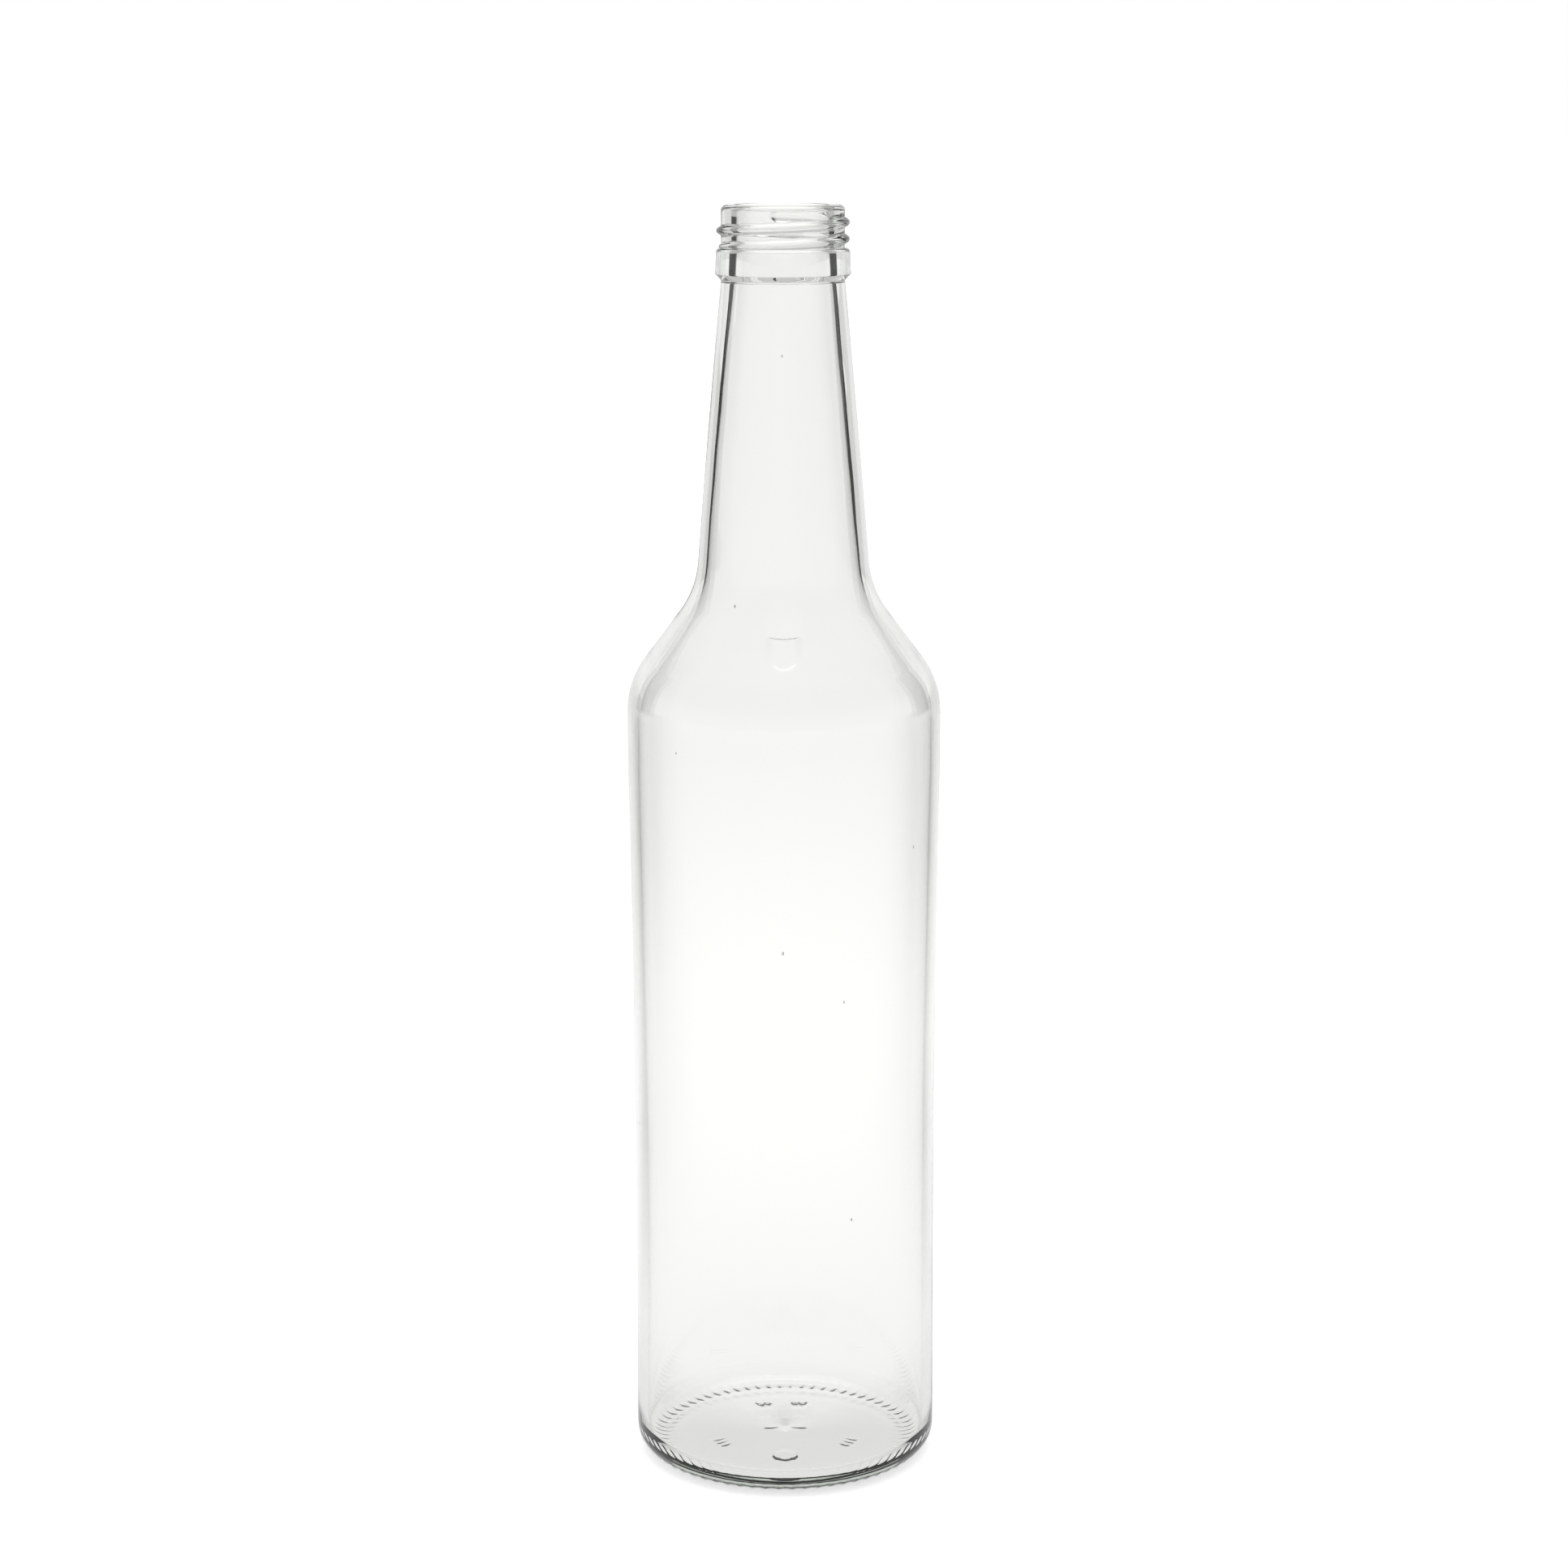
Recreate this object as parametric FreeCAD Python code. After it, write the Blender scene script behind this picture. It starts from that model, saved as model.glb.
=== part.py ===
"""Clear glass screw-top bottle, one blown piece.

Round body with a slightly waisted label panel, sloping shoulder, long straight neck, 28 mm screw finish
with a locking ring, push-up base with a knurled bearing ring. Millimetres, +Z up, origin at the bottom
centre: the bottle stands on z = 0.
"""
import FreeCAD, Part
import math
import os

V = FreeCAD.Vector

# ---- Heights above the surface it stands on ----
total_height = 268.0
shoulder_spring_height = 162.8     # the straight body ends and the shoulder starts
panel_waist_height = 87.0          # the label panel is at its narrowest here
heel_band_height = 13.0            # the label panel starts here
shoulder_band_length = 10.8        # full-width band between the panel and the shoulder

# ---- Outside radii ----
body_radius = 33.05                # shoulder band, the widest part
panel_waist_step = 0.81            # how far the panel lies inside the shoulder band
heel_band_step = 0.75              # how far the band above the heel lies inside it

# ---- Shoulder and neck ----
shoulder_angle = 53.4              # slope of its straight stretch, in degrees below the horizontal
shoulder_round = 18.4              # body to shoulder
neck_root_round = 19.8             # shoulder to neck
neck_top_radius = 12.82
neck_taper_angle = 5.0             # of the neck's side, from the vertical
neck_bulge = 0.12                  # how far that side bows out of a straight cone

# ---- Screw finish: depths are measured down from the rim ----
ring_top_depth = 8.8               # upper face of the locking ring
ring_underside_depth = 14.3        # lower edge of the locking ring
neck_top_depth = 15.4              # the neck is at its narrowest here
finish_radius = 12.8               # wall that the thread stands on
ring_top_radius = 13.85
ring_bottom_radius = 14.03
ring_top_round = 0.9
ring_bottom_round = 0.35
ring_bottom_slope = 48.0           # the ring's lower edge turns in to this angle, in degrees
lip_round = 1.2
mouth_round = 0.8

# ---- Glass thickness and the inside ----
body_wall = 2.2
neck_top_wall = 2.6
bore_radius = 9.6
bore_length = 13.5                 # straight bore, measured down from the rim
bore_flare_length = 7.0            # the bore opens out to the neck over this length
inner_heel_round = 4.0
inner_heel_floor_height = 3.0
floor_centre_height = 3.8

# ---- Base ----
heel_round = 5.0
bearing_inner_width = 2.5          # from the bearing ring in to the edge of the push-up
push_up_edge_height = 0.9
push_up_height = 1.4

# ---- Knurl: short radial bars that the bottle stands on ----
knurl_height = 0.35
knurl_count = 66
knurl_bar_angle = 2.4              # width of one bar, in degrees round the axis
knurl_flat = 1.4                   # radial length of a bar's flat foot
knurl_top_angle = 36.0             # how far up the heel the bars keep their height, degrees below horizontal
knurl_fade_angle = 7.0             # over these further degrees a bar runs out into the heel
knurl_sink = 0.05                  # how deep the end of a bar is set into the glass
knurl_inner_reach = 2.1            # how far inside the bearing ring the bars reach

# ---- Screw thread: right-handed, one start ----
thread_radius = 13.77              # at the crest
thread_pitch = 3.4
thread_width = 1.8                 # of the rib, measured along the axis
thread_turns = 1.78
thread_start_angle = 100.0         # upper end, in degrees anticlockwise from +X seen from above
thread_start_depth = 2.65          # centre of the upper end, down from the rim

# ---- Mould marks ----
notch_width = 7.2                  # shallow shield-shaped notch on the front of the shoulder
notch_length = 6.6
notch_top_dip = 0.7                # its top edge is nearly flat, with raised corners
notch_bottom_sag = 2.2             # its lower edge is round
notch_depth = 0.35
notch_rise = 16.3                  # its centre above the start of the shoulder
base_mark_relief = 0.3
base_disc_radius = 2.6             # plain disc near the front of the push-up
base_disc_offset = 15.1            # from the axis
base_dot_radius = 0.7
base_dot_ring_radius = 15.5
base_dot_angles = [-158, -152, -146, -34, -28, -22, 75, 81, 105, 111]
base_centre_dot_offset = 3.1       # the pair of dots beside the axis

# ---- Worked out from the values above ----
heel_band_radius = body_radius - heel_band_step
bearing_ring_radius = heel_band_radius - heel_round
push_up_edge_radius = bearing_ring_radius - bearing_inner_width
neck_top_height = total_height - neck_top_depth
heel_centre = (bearing_ring_radius, knurl_height + heel_round)
finish_wall = finish_radius - bore_radius
lip_corner = min(lip_round, finish_wall * 0.45)
mouth_corner = min(mouth_round, finish_wall * 0.35)


# ---- Helpers: an outline is drawn in the XZ plane as (radius, height) and spun round Z ----
def at(radius, height):
    return V(radius, 0, height)


def line(start, end):
    return Part.LineSegment(at(*start), at(*end)).toShape()


def arc(start, middle, end):
    return Part.Arc(at(*start), at(*middle), at(*end)).toShape()


def on_circle(centre, radius, degrees):
    turn = math.radians(degrees)
    return (centre[0] + radius * math.cos(turn), centre[1] + radius * math.sin(turn))


def round_corner(centre, radius, first, last):
    """Arc about centre between two directions given in degrees from the outward horizontal."""
    middle = (first + last) / 2
    return arc(*[on_circle(centre, radius, turn) for turn in (first, middle, last)])


def spin(edges, angle=360.0):
    face = Part.Face(Part.Wire(edges))
    return face.revolve(V(0, 0, 0), V(0, 0, 1), angle)


def bowed(start, end, bulge):
    """Middle point of a line, pushed out by bulge."""
    return ((start[0] + end[0]) / 2 + bulge, (start[1] + end[1]) / 2)


def shoulder(offset):
    """Shoulder from body to neck, moved inwards by offset: its edges and the point where the neck starts."""
    slope_turn = 90.0 - shoulder_angle
    body_centre = (body_radius - shoulder_round, shoulder_spring_height)
    slope_point = on_circle(body_centre, shoulder_round, slope_turn)
    root_centre = tangent_centre(
        (neck_top_radius, neck_top_height), neck_taper_angle, slope_point, slope_turn, neck_root_round)
    slope_start = on_circle(body_centre, shoulder_round - offset, slope_turn)
    slope_end = on_circle(root_centre, neck_root_round + offset, 180.0 + slope_turn)
    neck_end = on_circle(root_centre, neck_root_round + offset, 180.0 + neck_taper_angle)
    edges = [
        round_corner(body_centre, shoulder_round - offset, 0.0, slope_turn),
        line(slope_start, slope_end),
        round_corner(root_centre, neck_root_round + offset, 180.0 + slope_turn, 180.0 + neck_taper_angle),
    ]
    return edges, neck_end


def tangent_centre(first_point, first_turn, second_point, second_turn, radius):
    """Centre of an arc that lies outside two lines and touches both; turns are of their outward normals."""
    first_normal = on_circle((0, 0), 1.0, first_turn)
    second_normal = on_circle((0, 0), 1.0, second_turn)
    first_reach = first_point[0] * first_normal[0] + first_point[1] * first_normal[1] + radius
    second_reach = second_point[0] * second_normal[0] + second_point[1] * second_normal[1] + radius
    spread = first_normal[0] * second_normal[1] - first_normal[1] * second_normal[0]
    return (
        (first_reach * second_normal[1] - second_reach * first_normal[1]) / spread,
        (second_reach * first_normal[0] - first_reach * second_normal[0]) / spread,
    )


def body_side(offset, bottom_height):
    """Side of the body from the heel up to the shoulder: heel band, waisted panel, shoulder band."""
    bottom = (heel_band_radius - offset, bottom_height)
    panel_start = (heel_band_radius - offset, heel_band_height)
    waist = (body_radius - panel_waist_step - offset, panel_waist_height)
    panel_end = (body_radius - offset, shoulder_spring_height - shoulder_band_length)
    spring = (body_radius - offset, shoulder_spring_height)
    edges = [arc(panel_start, waist, panel_end), line(panel_end, spring)]
    if bottom_height < heel_band_height:
        edges.insert(0, line(bottom, panel_start))
    return edges


def outer_outline():
    bearing = (bearing_ring_radius, knurl_height)
    bearing_inside = (bearing_ring_radius - bearing_inner_width * 0.6, knurl_height + 0.17)
    push_up_edge = (push_up_edge_radius, push_up_edge_height)
    push_up_middle = (push_up_edge_radius / 2, push_up_height - (push_up_height - push_up_edge_height) / 4)
    shoulder_edges, neck_end = shoulder(0.0)
    neck_top = (neck_top_radius, neck_top_height)
    ring_top = total_height - ring_top_depth
    ring_underside = total_height - ring_underside_depth
    ring_corner = (ring_bottom_radius - ring_bottom_round, ring_underside + ring_bottom_round)
    ring_foot = on_circle(ring_corner, ring_bottom_round, -ring_bottom_slope)
    ring_shoulder = (ring_top_radius - ring_top_round, ring_top - ring_top_round)
    lip_centre = (finish_radius - lip_corner, total_height - lip_corner)
    return [
        arc((0, push_up_height), push_up_middle, push_up_edge),
        arc(push_up_edge, bearing_inside, bearing),
        round_corner(heel_centre, heel_round, -90.0, 0.0),
        *body_side(0.0, heel_centre[1]),
        *shoulder_edges,
        arc(neck_end, bowed(neck_end, neck_top, neck_bulge), neck_top),
        line(neck_top, ring_foot),
        round_corner(ring_corner, ring_bottom_round, -ring_bottom_slope, 0.0),
        line((ring_bottom_radius, ring_corner[1]), (ring_top_radius, ring_shoulder[1])),
        round_corner(ring_shoulder, ring_top_round, 0.0, 90.0),
        line((ring_shoulder[0], ring_top), (finish_radius, ring_top)),
        line((finish_radius, ring_top), (finish_radius, lip_centre[1])),
        round_corner(lip_centre, lip_corner, 0.0, 90.0),
        line((lip_centre[0], total_height), (0, total_height)),
        line((0, total_height), (0, push_up_height)),
    ]


def inner_outline():
    """The hollow, from its floor up past the rim."""
    corner = (heel_band_radius - body_wall - inner_heel_round, inner_heel_floor_height + inner_heel_round)
    floor_edge = (corner[0], inner_heel_floor_height)
    floor_middle_height = floor_centre_height - (floor_centre_height - inner_heel_floor_height) / 4
    shoulder_edges, neck_end = shoulder(body_wall)
    flare_top = (bore_radius, total_height - bore_length)
    flare_end_height = flare_top[1] - bore_flare_length
    neck_growth = (neck_top_height - flare_end_height) * math.tan(math.radians(neck_taper_angle))
    flare_end = (neck_top_radius + neck_growth - neck_top_wall, flare_end_height)
    mouth_centre = (bore_radius + mouth_corner, total_height - mouth_corner)
    above = total_height + 2.0
    return [
        arc((0, floor_centre_height), (floor_edge[0] / 2, floor_middle_height), floor_edge),
        round_corner(corner, inner_heel_round, -90.0, 0.0),
        *body_side(body_wall, corner[1]),
        *shoulder_edges,
        arc(neck_end, bowed(neck_end, flare_end, neck_bulge), flare_end),
        line(flare_end, flare_top),
        line(flare_top, (bore_radius, mouth_centre[1])),
        round_corner(mouth_centre, mouth_corner, 180.0, 90.0),
        line((mouth_centre[0], total_height), (mouth_centre[0], above)),
        line((mouth_centre[0], above), (0, above)),
        line((0, above), (0, floor_centre_height)),
    ]


# ---- Parts of the solid ----
def thread():
    """The ridge that the cap turns on: a half-sunk round rib carried along a helix, with rounded ends."""
    rib_round = thread_width / 2
    path_radius = thread_radius - rib_round
    rise = thread_pitch * thread_turns
    lower_end_height = total_height - thread_start_depth - rise
    helix = Part.makeHelix(thread_pitch, rise, path_radius)
    section = Part.Wire(Part.makeCircle(rib_round, at(path_radius, 0), V(0, 1, 0)))
    rib = Part.Wire(helix.Edges).makePipeShell([section], True, True)
    ends = [Part.makeSphere(rib_round, at(path_radius, 0)), Part.makeSphere(rib_round, at(path_radius, 0))]
    ends[1].rotate(V(0, 0, 0), V(0, 0, 1), 360.0 * thread_turns)
    ends[1].translate(V(0, 0, rise))
    ridge = rib.fuse(ends)
    ridge.rotate(V(0, 0, 0), V(0, 0, 1), thread_start_angle - 360.0 * thread_turns)
    ridge.translate(V(0, 0, lower_end_height))
    return ridge


def knurl_bars():
    """Radial bars round the bearing ring; their flat feet lie on the surface below."""
    bar_round = heel_round + knurl_height
    top = on_circle(heel_centre, heel_round - knurl_sink, knurl_fade_angle - knurl_top_angle)
    outer_foot = (heel_centre[0], 0)
    inner_foot = (heel_centre[0] - knurl_flat, 0)
    inner_end = (bearing_ring_radius - knurl_inner_reach, push_up_edge_height)
    depth = (bearing_ring_radius, push_up_edge_height + knurl_height)
    bar = spin([
        line(top, on_circle(heel_centre, bar_round, -knurl_top_angle)),
        round_corner(heel_centre, bar_round, -knurl_top_angle, -90.0),
        line(outer_foot, inner_foot),
        line(inner_foot, inner_end),
        line(inner_end, depth),
        line(depth, top),
    ], knurl_bar_angle)
    bars = []
    for index in range(knurl_count):
        copy = bar.copy()
        copy.rotate(V(0, 0, 0), V(0, 0, 1), 360.0 * index / knurl_count - knurl_bar_angle / 2)
        bars.append(copy)
    return bars


def shoulder_notch():
    """Glass taken away for the shallow notch on the front of the shoulder, whose bottom follows the slope."""
    half = notch_width / 2
    centre_height = shoulder_spring_height + notch_rise
    top = centre_height + notch_length / 2
    bottom = centre_height - notch_length / 2 + notch_bottom_sag
    outline = Part.Wire([
        Part.Arc(V(-half, 0, top), V(0, 0, top - notch_top_dip), V(half, 0, top)).toShape(),
        Part.LineSegment(V(half, 0, top), V(half, 0, bottom)).toShape(),
        Part.Arc(V(half, 0, bottom), V(0, 0, bottom - notch_bottom_sag), V(-half, 0, bottom)).toShape(),
        Part.LineSegment(V(-half, 0, bottom), V(-half, 0, top)).toShape(),
    ])
    column = Part.Face(outline).extrude(V(0, -body_radius, 0))
    edges, neck_end = shoulder(notch_depth)
    slope_foot = (body_radius - notch_depth, shoulder_spring_height)
    edges += [
        line(neck_end, (0, neck_end[1])),
        line((0, neck_end[1]), (0, slope_foot[1])),
        line((0, slope_foot[1]), slope_foot),
    ]
    return column.cut(spin(edges))


def base_marks():
    """Plain raised dots and one plain disc on the underside of the push-up."""
    marks = []
    places = [(base_dot_ring_radius, angle, base_dot_radius) for angle in base_dot_angles]
    places += [(base_centre_dot_offset, angle, base_dot_radius) for angle in (0, 180)]
    places += [(base_disc_offset, -90, base_disc_radius)]
    for offset, angle, radius in places:
        share = offset / push_up_edge_radius
        ceiling = push_up_height - (push_up_height - push_up_edge_height) * share * share
        centre = on_circle((0, 0), offset, angle)
        foot = V(centre[0], centre[1], ceiling - base_mark_relief)
        marks.append(Part.makeCylinder(radius, base_mark_relief * 3, foot))
    return marks


def bottle():
    threaded = spin(outer_outline()).fuse(thread())
    glass = threaded.fuse(knurl_bars() + base_marks()).cut(shoulder_notch())
    return glass.cut(spin(inner_outline())).removeSplitter()


os.makedirs("parts", exist_ok=True)
glass_bottle = bottle().Solids[0]
glass_bottle.exportStep("parts/bottle.step")
print("glass", round(glass_bottle.Volume / 1000, 1), "ml, hollow to the brim",
      round(spin(inner_outline()).common(spin(outer_outline())).Volume / 1000, 1), "ml")
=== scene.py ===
"""Clear glass screw-top bottle standing on a plain pale floor.

The whole object is one blown piece of glass, open at the mouth and empty, with no cap on it. Blender's
metres, +Z up, origin at the bottom centre, the front of the bottle towards -Y. Outlines below are written
in millimetres as (radius, height) and brought down to metres once the mesh is finished.
"""

import math

import bmesh
import bpy
from mathutils import Matrix, Vector, noise


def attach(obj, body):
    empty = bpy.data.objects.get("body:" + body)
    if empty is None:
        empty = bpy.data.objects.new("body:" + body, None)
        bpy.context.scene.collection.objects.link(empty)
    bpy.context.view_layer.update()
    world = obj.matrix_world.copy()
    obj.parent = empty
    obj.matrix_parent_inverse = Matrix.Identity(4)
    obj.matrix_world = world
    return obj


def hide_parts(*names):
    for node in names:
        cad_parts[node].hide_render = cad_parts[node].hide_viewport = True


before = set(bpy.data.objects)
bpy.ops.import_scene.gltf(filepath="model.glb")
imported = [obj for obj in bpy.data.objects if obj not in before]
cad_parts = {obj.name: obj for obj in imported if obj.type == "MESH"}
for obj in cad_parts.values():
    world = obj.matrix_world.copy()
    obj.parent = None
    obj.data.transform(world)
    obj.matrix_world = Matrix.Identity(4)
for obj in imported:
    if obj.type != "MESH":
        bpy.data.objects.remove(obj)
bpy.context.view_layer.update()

# ---- Glass bottle ----
# Bottle of clear soda-lime glass, faintly green where it is thick. Its closed outline, outside and inside,
# is spun round the axis. The thread, knurl, base dots and mould seams are then raised from it, and the
# shoulder notch is sunk into it.
knurl_bars = 66
steps_per_bar = 6
bar_height = 0.16                   # of the knurl bars, which reach down to the floor from the bearing ring
bar_start = 24.5                    # radius of their inner ends
heel_centre = (27.3, 5.16)          # of the heel's round corner, as (radius, height)
heel_round = 5.0
thread_pitch = 3.4
thread_depth = 0.97
thread_ends = (-540.8, 109.0)       # low and high end, in degrees round the axis
notch_half_width = 3.6
notch_top = 181.76
seams = (-86.364, 93.636)           # degrees round the axis, each on a column of the mesh


def line(start, end, steps):
    """Straight run from start up to, but without, end."""
    return [tuple(a + (b - a) * i / steps for a, b in zip(start, end)) for i in range(steps)]


def arc(centre, radius, first, last, steps):
    """Part of a circle from the first angle up to, but without, the last, in degrees."""
    turns = [math.radians(first + (last - first) * i / steps) for i in range(steps)]
    return [(centre[0] + radius * math.cos(t), centre[1] + radius * math.sin(t)) for t in turns]


def through(start, middle, end, steps):
    """Gentle arc from start to end by way of a middle point, as a parabola."""
    points = []
    for i in range(steps):
        t = i / steps
        weights = ((1 - t) * (1 - 2 * t), 4 * t * (1 - t), t * (2 * t - 1))
        points.append(tuple(sum(w * p[k] for w, p in zip(weights, (start, middle, end))) for k in (0, 1)))
    return points


def smooth(value, low, high):
    """0 at low, 1 at high, with soft ends."""
    t = min(max((value - low) / (high - low), 0.0), 1.0)
    return t * t * (3 - 2 * t)


outline = []
# underside: push-up, bearing ring, heel
outline += through((0.0, 1.4), (12.9, 0.85), (25.8, bar_height), 28)
outline += line((25.8, bar_height), (heel_centre[0], bar_height), 3)
outline += arc(heel_centre, heel_round, -90.0, 0.0, 12)
# body: heel band, waisted panel, shoulder band
outline += line((32.3, heel_centre[1]), (32.3, 13.0), 3)
outline += through((32.3, 13.0), (32.24, 87.0), (33.05, 152.0), 12)
outline += line((33.05, 152.0), (33.05, 162.8), 3)
# shoulder, with close rows for the notch's upper edge, and neck
outline += arc((14.65, 162.8), 18.4, 0.0, 36.6, 10)
outline += line((29.422, 173.771), (23.721, 181.45), 13)
outline += line((23.721, 181.45), (23.588, 181.63), 1)
outline += line((23.588, 181.63), (23.491, 181.76), 5)
outline += line((23.491, 181.76), (23.349, 181.95), 1)
outline += line((23.349, 181.95), (21.761, 184.086), 4)
outline += arc((37.657, 195.891), 19.8, 216.6, 185.0, 10)
outline += through((17.932, 194.165), (15.496, 223.383), (12.855, 252.2), 11)
outline += line((12.855, 252.2), (12.82, 252.6), 1)
# locking ring, finish and lip
outline += line((12.82, 252.6), (13.09, 252.9), 1)
outline += line((13.09, 252.9), (13.914, 253.79), 2)
outline += arc((13.68, 254.05), 0.35, -48.0, 0.0, 3)
outline += line((14.03, 254.05), (13.85, 258.3), 3)
outline += arc((12.95, 258.3), 0.9, 0.0, 90.0, 5)
outline += line((12.95, 259.2), (12.8, 259.2), 1)
outline += line((12.8, 259.2), (12.8, 266.8), 34)
outline += arc((11.6, 266.8), 1.2, 0.0, 90.0, 6)
outline += line((11.6, 268.0), (10.4, 268.0), 2)
outline += arc((10.4, 267.2), 0.8, 90.0, 180.0, 4)
# inside, from the mouth down to the floor
outline += line((9.6, 267.2), (9.6, 261.8), 2)
outline += through((9.6, 261.8), (9.7, 257.8), (9.985, 253.8), 8)
outline += through((9.985, 253.8), (12.91, 223.9), (15.741, 193.973), 13)
outline += arc((37.657, 195.891), 22.0, 185.0, 216.6, 8)
outline += line((19.995, 182.774), (27.656, 172.459), 3)
outline += arc((14.65, 162.8), 16.2, 36.6, 0.0, 8)
outline += line((30.85, 162.8), (30.85, 152.0), 2)
outline += through((30.85, 152.0), (30.04, 87.0), (30.1, 12.8), 8)
outline += line((30.1, 12.8), (30.1, 7.0), 2)
outline += arc((26.1, 7.0), 4.0, 0.0, -90.0, 10)
outline += through((26.1, 3.0), (13.05, 3.6), (0.0, 3.8), 6)
outline += [(0.0, 3.8)]

# one sector, as wide as one bar of the knurl with its gap, and then the other sectors round the axis
mesh = bmesh.new()
corners = [mesh.verts.new((r, 0.0, z)) for r, z in outline]
edges = [mesh.edges.new(pair) for pair in zip(corners, corners[1:])]
sector = 2 * math.pi / knurl_bars
bmesh.ops.spin(mesh, geom=corners + edges, axis=(0, 0, 1), cent=(0, 0, 0), angle=sector, steps=steps_per_bar)
bmesh.ops.spin(
    mesh, geom=mesh.verts[:] + mesh.edges[:] + mesh.faces[:], axis=(0, 0, 1), cent=(0, 0, 0),
    angle=2 * math.pi - sector, steps=knurl_bars - 1, use_duplicate=True)
bmesh.ops.remove_doubles(mesh, verts=mesh.verts, dist=0.001)
bmesh.ops.recalc_face_normals(mesh, faces=mesh.faces)
mesh.normal_update()


def thread_ridge(angle, height):
    """How far the thread stands out of the finish: one start, right-handed, both ends run out to a point."""
    low_end, high_end = thread_ends
    ridge = 0.0
    for lap in (0, -1, -2):
        turn = angle + 360.0 * lap
        if low_end < turn < high_end:
            centre = 265.35 - thread_pitch * (100.0 - turn) / 360.0 - 0.55 * smooth(turn, 10.0, high_end)
            ends = smooth(turn, low_end, -522.0) * smooth(high_end - turn, 0.0, 14.0)
            off = (height - centre) / (0.4 + 0.56 * ends)
            ridge = max(ridge, thread_depth * ends * max(0.0, 1.0 - off * off) ** 0.65)
    return ridge


def notch(across, height):
    """How deep the shallow notch on the front is cut: deepest at its nearly flat, crisp top edge."""
    foot = 175.8 + 2.2 * (across / notch_half_width) ** 2
    edge = smooth(notch_half_width - abs(across), -0.4, 1.6) * smooth(notch_top - height, 0.0, 0.13)
    return edge * smooth(height - foot, -0.2, 0.6) * (0.2 + 0.15 * smooth(height, 176.5, 181.5))


# plain dots and one plain disc under the bottle, as (distance from the axis, degrees round it, radius)
base_spots = [(15.5, turn, 0.7) for turn in (-158, -152, -146, -34, -28, -22, 75, 81, 105, 111)]
base_spots += [(3.1, 0, 0.7), (3.1, 180, 0.7), (15.1, -90, 2.6)]
base_spots = [
    (Vector((offset * math.cos(math.radians(turn)), offset * math.sin(math.radians(turn)))), size)
    for offset, turn, size in base_spots]

bar_pitch = 360.0 / knurl_bars
moves = {}
for vert in mesh.verts:
    x, y, z = vert.co
    radius = math.hypot(x, y)
    if radius < 0.01:
        continue
    angle = math.degrees(math.atan2(y, x))
    radial = Vector((x / radius, y / radius, 0.0))
    outside = vert.normal.dot(radial) > 0.0
    move = Vector((0.0, 0.0, 0.0))
    if z < 1.6 and radius < 24.0:
        # base dots and disc
        here = Vector((x, y))
        move.z -= max(
            (0.16 + 0.05 * size) * (1.0 - smooth((here - spot).length, size - 0.35, size + 0.35))
            for spot, size in base_spots)
    elif z < 5.3 and radius > bar_start and (outside or z < 2.0):
        # knurl bars that the bottle stands on
        off_bar = abs((angle + bar_pitch / 2) % bar_pitch - bar_pitch / 2)
        bar = bar_height * (1.0 - smooth(off_bar, 0.0, 1.7))
        if radius < heel_centre[0]:
            move.z -= bar * smooth(radius, bar_start, heel_centre[0])
        else:
            out, up = radius - heel_centre[0], z - heel_centre[1]
            below = math.degrees(math.atan2(-up, out))
            move += Vector((radial.x * out, radial.y * out, up)).normalized() * bar * smooth(below, 33.0, 60.0)
    elif 259.3 < z < 266.9 and outside:
        # thread on the finish
        move += radial * thread_ridge(angle, z)
    elif 172.0 < z < 184.0 and outside and y < 0 and abs(x) < 5.0:
        # shoulder notch, whose rows rise along the slope to the raised corners of its upper edge
        move -= vert.normal * notch(x, z)
        corner = 0.45 * min(abs(x) / notch_half_width, 1.0) ** 2
        corner *= smooth(z, 179.0, 181.5) * smooth(184.0 - z, 0.0, 1.8)
        move += Vector((-0.596 * radial.x, -0.596 * radial.y, 0.803)) * corner
    if outside and 12.0 < z < 251.0:
        # the mould's two halves meet in a hair-thin raised line, front and back
        for seam in seams:
            if abs(angle - seam) < 0.4:
                move += radial * 0.03 * (0.6 + 0.4 * noise.noise(Vector((0.0, seam, z / 22.0))))
    if not outside and 12.0 < z < 250.0:
        # blown glass is never quite even: long shallow waves in the inner face, shorter ones in the neck
        wave = noise.noise(Vector((x / 9.0, y / 9.0, z / 90.0)))
        slow = noise.noise(Vector((x / 26.0, y / 26.0, z / 60.0 + 7.0)))
        neck = noise.noise(Vector((x / 12.0, y / 12.0, z / 6.5))) * smooth(z, 195.0, 215.0)
        uneven = 0.045 * wave + 0.10 * slow + 0.08 * neck
        move += radial * uneven * smooth(z, 12.0, 30.0) * smooth(250.0 - z, 0.0, 8.0)
        # and the neck's bore sits a little to one side
        move.x -= 0.12 * smooth(z, 190.0, 205.0) * smooth(250.0 - z, 0.0, 10.0)
    if move.length > 0.0:
        moves[vert] = move
for vert, move in moves.items():
    vert.co += move

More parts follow.
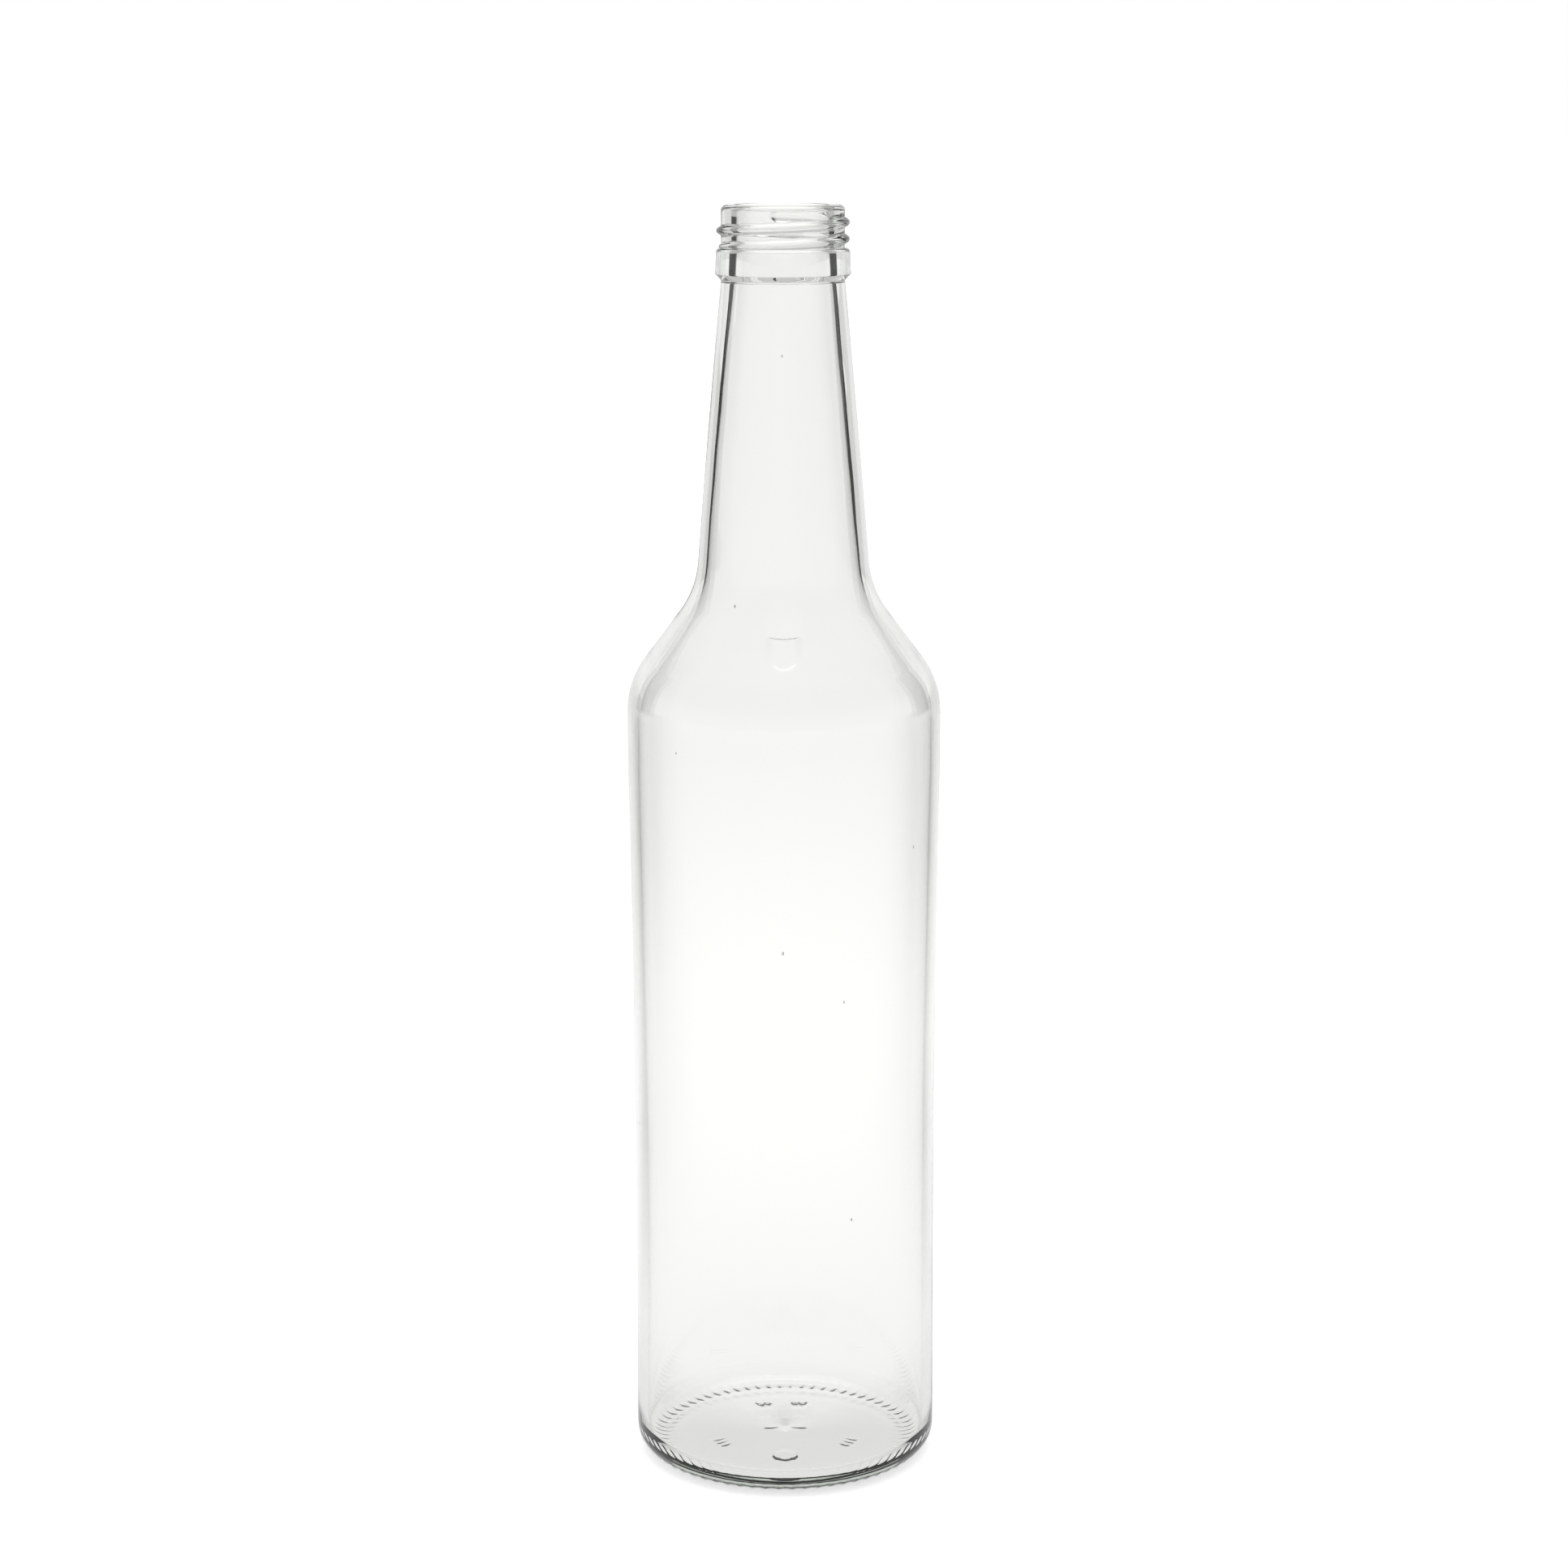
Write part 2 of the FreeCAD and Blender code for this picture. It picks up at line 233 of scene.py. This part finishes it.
# seeds: tiny bubbles closed in the wall, as (degrees round, height, depth under the surface, size)
for turn, height, depth, size in (
        (-90.5, 118.0, 1.1, 0.22), (-91.0, 238.0, 1.2, 0.16), (-122.0, 187.0, 1.0, 0.2), (-64.0, 60.0, 1.0, 0.18),
        (20.0, 131.0, 1.2, 0.22), (64.0, 92.0, 1.0, 0.2), (141.0, 150.0, 1.1, 0.18), (-170.0, 74.0, 1.2, 0.2)):
    surface = 32.4                  # radius of the body, shoulder or neck at that height
    if height > 185.0:
        surface = 14.05 if height > 200.0 else 19.3
    place = Matrix.Rotation(math.radians(turn), 4, "Z") @ Matrix.Translation((surface - depth, 0.0, height))
    place = place @ Matrix.Diagonal((0.8, 1.0, 1.7, 1.0))
    bubble = bmesh.ops.create_icosphere(mesh, subdivisions=2, radius=size, matrix=place)
    bmesh.ops.reverse_faces(mesh, faces=list({face for vert in bubble["verts"] for face in vert.link_faces}))

bmesh.ops.scale(mesh, vec=(0.001, 0.001, 0.001), verts=mesh.verts)
for face in mesh.faces:
    face.smooth = True
bottle_mesh = bpy.data.meshes.new("glass_bottle")
mesh.to_mesh(bottle_mesh)
mesh.free()
glass_bottle = bpy.data.objects.new("glass_bottle", bottle_mesh)
bpy.context.collection.objects.link(glass_bottle)

# Clear glass: the surface is fire-polished with a very shallow ripple, and the body of the glass takes a little
# red and blue out of the light, so that only its thick heel looks green.
glass = bpy.data.materials.new("clear_glass")
glass.use_nodes = True
nodes = glass.node_tree.nodes
links = glass.node_tree.links
nodes.clear()
output = nodes.new("ShaderNodeOutputMaterial")
shader = nodes.new("ShaderNodeBsdfPrincipled")
shader.inputs["Base Color"].default_value = (0.997, 0.993, 0.986, 1.0)
shader.inputs["Transmission Weight"].default_value = 1.0
shader.inputs["IOR"].default_value = 1.51
shader.inputs["Roughness"].default_value = 0.0
place = nodes.new("ShaderNodeTexCoord")
stretch = nodes.new("ShaderNodeMapping")
stretch.inputs["Scale"].default_value = (1.0, 1.0, 0.25)
links.new(place.outputs["Object"], stretch.inputs["Vector"])
ripple = nodes.new("ShaderNodeTexNoise")
ripple.inputs["Scale"].default_value = 110.0
ripple.inputs["Detail"].default_value = 2.0
links.new(stretch.outputs["Vector"], ripple.inputs["Vector"])
bump = nodes.new("ShaderNodeBump")
bump.inputs["Strength"].default_value = 0.05
bump.inputs["Distance"].default_value = 0.0005
links.new(ripple.outputs["Fac"], bump.inputs["Height"])
links.new(bump.outputs["Normal"], shader.inputs["Normal"])
tint = nodes.new("ShaderNodeVolumeAbsorption")
tint.inputs["Color"].default_value = (0.4, 0.58, 0.36, 1.0)
tint.inputs["Density"].default_value = 10.0
links.new(shader.outputs["BSDF"], output.inputs["Surface"])
links.new(tint.outputs["Volume"], output.inputs["Volume"])
bottle_mesh.materials.append(glass)
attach(glass_bottle, "root")
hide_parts("bottle")

# ---- Floor ----
# Plain white sweep under the bottle. It keeps a faint shadow. Seen through the glass or mirrored in it, it glows
# with
# painted light and shade set by place: brightest close behind the bottle, and painted shade off to both sides of
# that.
sheet = bmesh.new()
bmesh.ops.create_grid(sheet, x_segments=2, y_segments=2, size=20.0)
bmesh.ops.translate(sheet, vec=(0.0, 0.0, -0.0001), verts=sheet.verts)
floor_mesh = bpy.data.meshes.new("floor")
sheet.to_mesh(floor_mesh)
sheet.free()
floor = bpy.data.objects.new("floor", floor_mesh)
bpy.context.collection.objects.link(floor)
paper = bpy.data.materials.new("white_sweep")
paper.use_nodes = True
nodes = paper.node_tree.nodes
links = paper.node_tree.links
nodes.clear()


def ramp(value, stops, style="LINEAR"):
    """Grey level that follows a value through the given stops."""
    node = nodes.new("ShaderNodeValToRGB")
    node.color_ramp.interpolation = style
    links.new(value, node.inputs["Fac"])
    elements = node.color_ramp.elements
    elements[0].position, elements[1].position = stops[0][0], stops[-1][0]
    for position, level in stops[1:-1]:
        elements.new(position)
    for element, (position, level) in zip(elements, stops):
        element.color = (level, level, level, 1.0)
    return node.outputs["Color"]


def maths(operation, *values):
    """One sum, on plain numbers or on what other nodes give."""
    node = nodes.new("ShaderNodeMath")
    node.operation = operation
    for socket, value in zip(node.inputs, values):
        if isinstance(value, float):
            socket.default_value = value
        else:
            links.new(value, socket)
    return node.outputs["Value"]


output = nodes.new("ShaderNodeOutputMaterial")
rays = nodes.new("ShaderNodeLightPath")
place = nodes.new("ShaderNodeTexCoord")
distance = nodes.new("ShaderNodeVectorMath")
distance.operation = "LENGTH"
links.new(place.outputs["Object"], distance.inputs[0])
axes = nodes.new("ShaderNodeSeparateXYZ")
links.new(place.outputs["Object"], axes.inputs["Vector"])
away = distance.outputs["Value"]
# plain floor: matt white, made up to white for the camera
matt = nodes.new("ShaderNodeBsdfDiffuse")
matt.inputs["Color"].default_value = (0.8, 0.8, 0.8, 1.0)
fill = nodes.new("ShaderNodeEmission")
made_up = ramp(away, ((0.25, 0.5), (1.0, 1.0)))
links.new(maths("MULTIPLY", rays.outputs["Is Camera Ray"], made_up), fill.inputs["Strength"])
plain = nodes.new("ShaderNodeAddShader")
links.new(matt.outputs["BSDF"], plain.inputs[0])
links.new(fill.outputs["Emission"], plain.inputs[1])
# painted light and shade of the floor as the glass shows it: by distance, and by how far round it lies, from
# straight behind (0) to straight in front (1), with a ramp of its own for each range of distance
# painted glow by distance, which dips a little right under the bottle as painted contact shade
painted_glow_by_distance = ramp(away, (
    (0.0, 0.47), (0.035, 0.47), (0.06, 0.485), (0.11, 0.505), (0.16, 0.52), (0.22, 0.535), (0.3, 0.545), (0.4, 0.54),
    (0.53, 0.52), (0.64, 0.505), (0.8, 0.49), (1.0, 0.485)))
sideways = maths("ABSOLUTE", axes.outputs["X"])
off_axis = maths("DIVIDE", maths("ARCTAN2", sideways, axes.outputs["Y"]), math.pi)
behind = ((0.0, 1.0), (0.16, 1.0))
beside = ramp(off_axis, behind + ((0.22, 0.95), (0.4, 0.85), (0.5, 0.85), (1.0, 0.85)), "B_SPLINE")
close_by = ramp(off_axis, behind + ((0.22, 0.72), (0.4, 0.45), (0.5, 0.75), (1.0, 0.75)), "B_SPLINE")
further_off = ramp(off_axis, behind + ((0.22, 0.4), (0.4, 0.35), (0.48, 0.85), (1.0, 0.85)), "B_SPLINE")
distant = ramp(off_axis, (
    (0.0, 1.0), (0.035, 0.98), (0.09, 0.89), (0.21, 0.76), (0.225, 0.74), (0.245, 0.5), (0.4, 0.5), (0.48, 0.9),
    (1.0, 0.9)))


def blend(share, first, second):
    """Goes from the first value to the second as share goes from 0 to 1."""
    node = nodes.new("ShaderNodeMix")
    links.new(share, node.inputs["Factor"])
    links.new(first, node.inputs["A"])
    links.new(second, node.inputs["B"])
    return node.outputs["Result"]


sides = blend(ramp(away, ((0.1, 0.0), (0.25, 1.0))), beside, close_by)
sides = blend(ramp(away, ((0.35, 0.0), (0.6, 1.0))), sides, further_off)
sides = blend(ramp(maths("MULTIPLY", away, 0.5), ((0.45, 0.0), (0.6, 1.0))), sides, distant)
# the floor glows with this painted light and shade, for glass rays only
painted_floor_glow = nodes.new("ShaderNodeEmission")
links.new(maths("MULTIPLY", maths("MULTIPLY", painted_glow_by_distance, 2.0), sides), painted_floor_glow.inputs["Strength"])
by_ray = nodes.new("ShaderNodeMixShader")
by_glass = maths("MAXIMUM", rays.outputs["Is Glossy Ray"], rays.outputs["Is Transmission Ray"])
links.new(by_glass, by_ray.inputs["Fac"])
links.new(plain.outputs["Shader"], by_ray.inputs[1])
links.new(painted_floor_glow.outputs["Emission"], by_ray.inputs[2])
links.new(by_ray.outputs["Shader"], output.inputs["Surface"])
floor_mesh.materials.append(paper)

# ---- Dark cards ----
# Two black cards that stand far back, left and right, out of the picture. Only the edges of the neck and the
# finish bend their view round to them, which draws the dark lines down the sides of a clear neck.
black = bpy.data.materials.new("black_card")
black.use_nodes = True
black.node_tree.nodes["Principled BSDF"].inputs["Base Color"].default_value = (0.004, 0.004, 0.004, 1.0)
black.node_tree.nodes["Principled BSDF"].inputs["Roughness"].default_value = 1.0
black.node_tree.nodes["Principled BSDF"].inputs["Specular IOR Level"].default_value = 0.0
for name, first, last in (("card_left", 133.0, 157.0), ("card_right", 23.0, 47.0)):
    sheet = bmesh.new()
    start = Matrix.Rotation(math.radians(first), 3, "Z")
    low = sheet.verts.new(start @ Vector((2.0, 0.0, 0.0)))
    high = sheet.verts.new(start @ Vector((2.0, 0.0, 1.2)))
    edge = sheet.edges.new((low, high))
    bmesh.ops.spin(
        sheet, geom=[low, high, edge], axis=(0, 0, 1), cent=(0, 0, 0), angle=math.radians(last - first), steps=8)
    card_mesh = bpy.data.meshes.new(name)
    sheet.to_mesh(card_mesh)
    sheet.free()
    card = bpy.data.objects.new(name, card_mesh)
    bpy.context.collection.objects.link(card)
    card_mesh.materials.append(black)
    card.visible_camera = False
    card.visible_diffuse = False
    card.visible_shadow = False

# ---- Light ----
# White room light from all round and one large soft lamp overhead. Seen in the glass, the room is a little
# dimmer above and on the camera's side.
world = bpy.data.worlds.new("white_room")
world.use_nodes = True
bpy.context.scene.world = world
nodes = world.node_tree.nodes
links = world.node_tree.links
nodes.clear()
output = nodes.new("ShaderNodeOutputWorld")
sky = nodes.new("ShaderNodeBackground")
sky.inputs["Color"].default_value = (1.0, 1.0, 1.0, 1.0)
rays = nodes.new("ShaderNodeLightPath")
place = nodes.new("ShaderNodeTexCoord")
axes = nodes.new("ShaderNodeSeparateXYZ")
links.new(place.outputs["Generated"], axes.inputs["Vector"])
ceiling = ramp(axes.outputs["Z"], ((0.0, 0.95), (0.15, 0.93), (0.4, 0.6), (0.7, 0.6), (1.0, 0.8)))
room = ramp(maths("MULTIPLY_ADD", axes.outputs["Y"], 0.5, 0.5), ((0.2, 0.7), (0.45, 0.8), (0.5, 1.0)))
by_glass = maths("MAXIMUM", rays.outputs["Is Glossy Ray"], rays.outputs["Is Transmission Ray"])
level = maths(
    "ADD", maths("MULTIPLY", by_glass, maths("MULTIPLY", ceiling, room)),
    maths("MULTIPLY", maths("SUBTRACT", 1.0, by_glass), 0.8))
links.new(maths("MAXIMUM", level, rays.outputs["Is Camera Ray"]), sky.inputs["Strength"])
links.new(sky.outputs["Background"], output.inputs["Surface"])

lamp_data = bpy.data.lights.new("softbox", "AREA")
lamp_data.shape = "RECTANGLE"
lamp_data.size = 1.6
lamp_data.size_y = 1.2
lamp_data.energy = 8.0
softbox = bpy.data.objects.new("softbox", lamp_data)
softbox.location = (0.0, 0.25, 1.5)
bpy.context.collection.objects.link(softbox)

# ---- Camera ----
# A little above the bottle, looking slightly down at it, 0.7 m away.
camera_data = bpy.data.cameras.new("camera")
camera_data.lens = 78.73
camera_data.sensor_width = 36.0
camera_data.clip_end = 60.0
camera = bpy.data.objects.new("camera", camera_data)
camera.location = (0.0, -0.7115, 0.2904)
turn = Matrix.Rotation(math.radians(78.6), 3, "X") @ Matrix.Rotation(math.radians(-0.11), 3, "Z")
camera.rotation_euler = turn.to_euler()
bpy.context.collection.objects.link(camera)
bpy.context.scene.camera = camera
bpy.context.scene.view_settings.view_transform = "Standard"
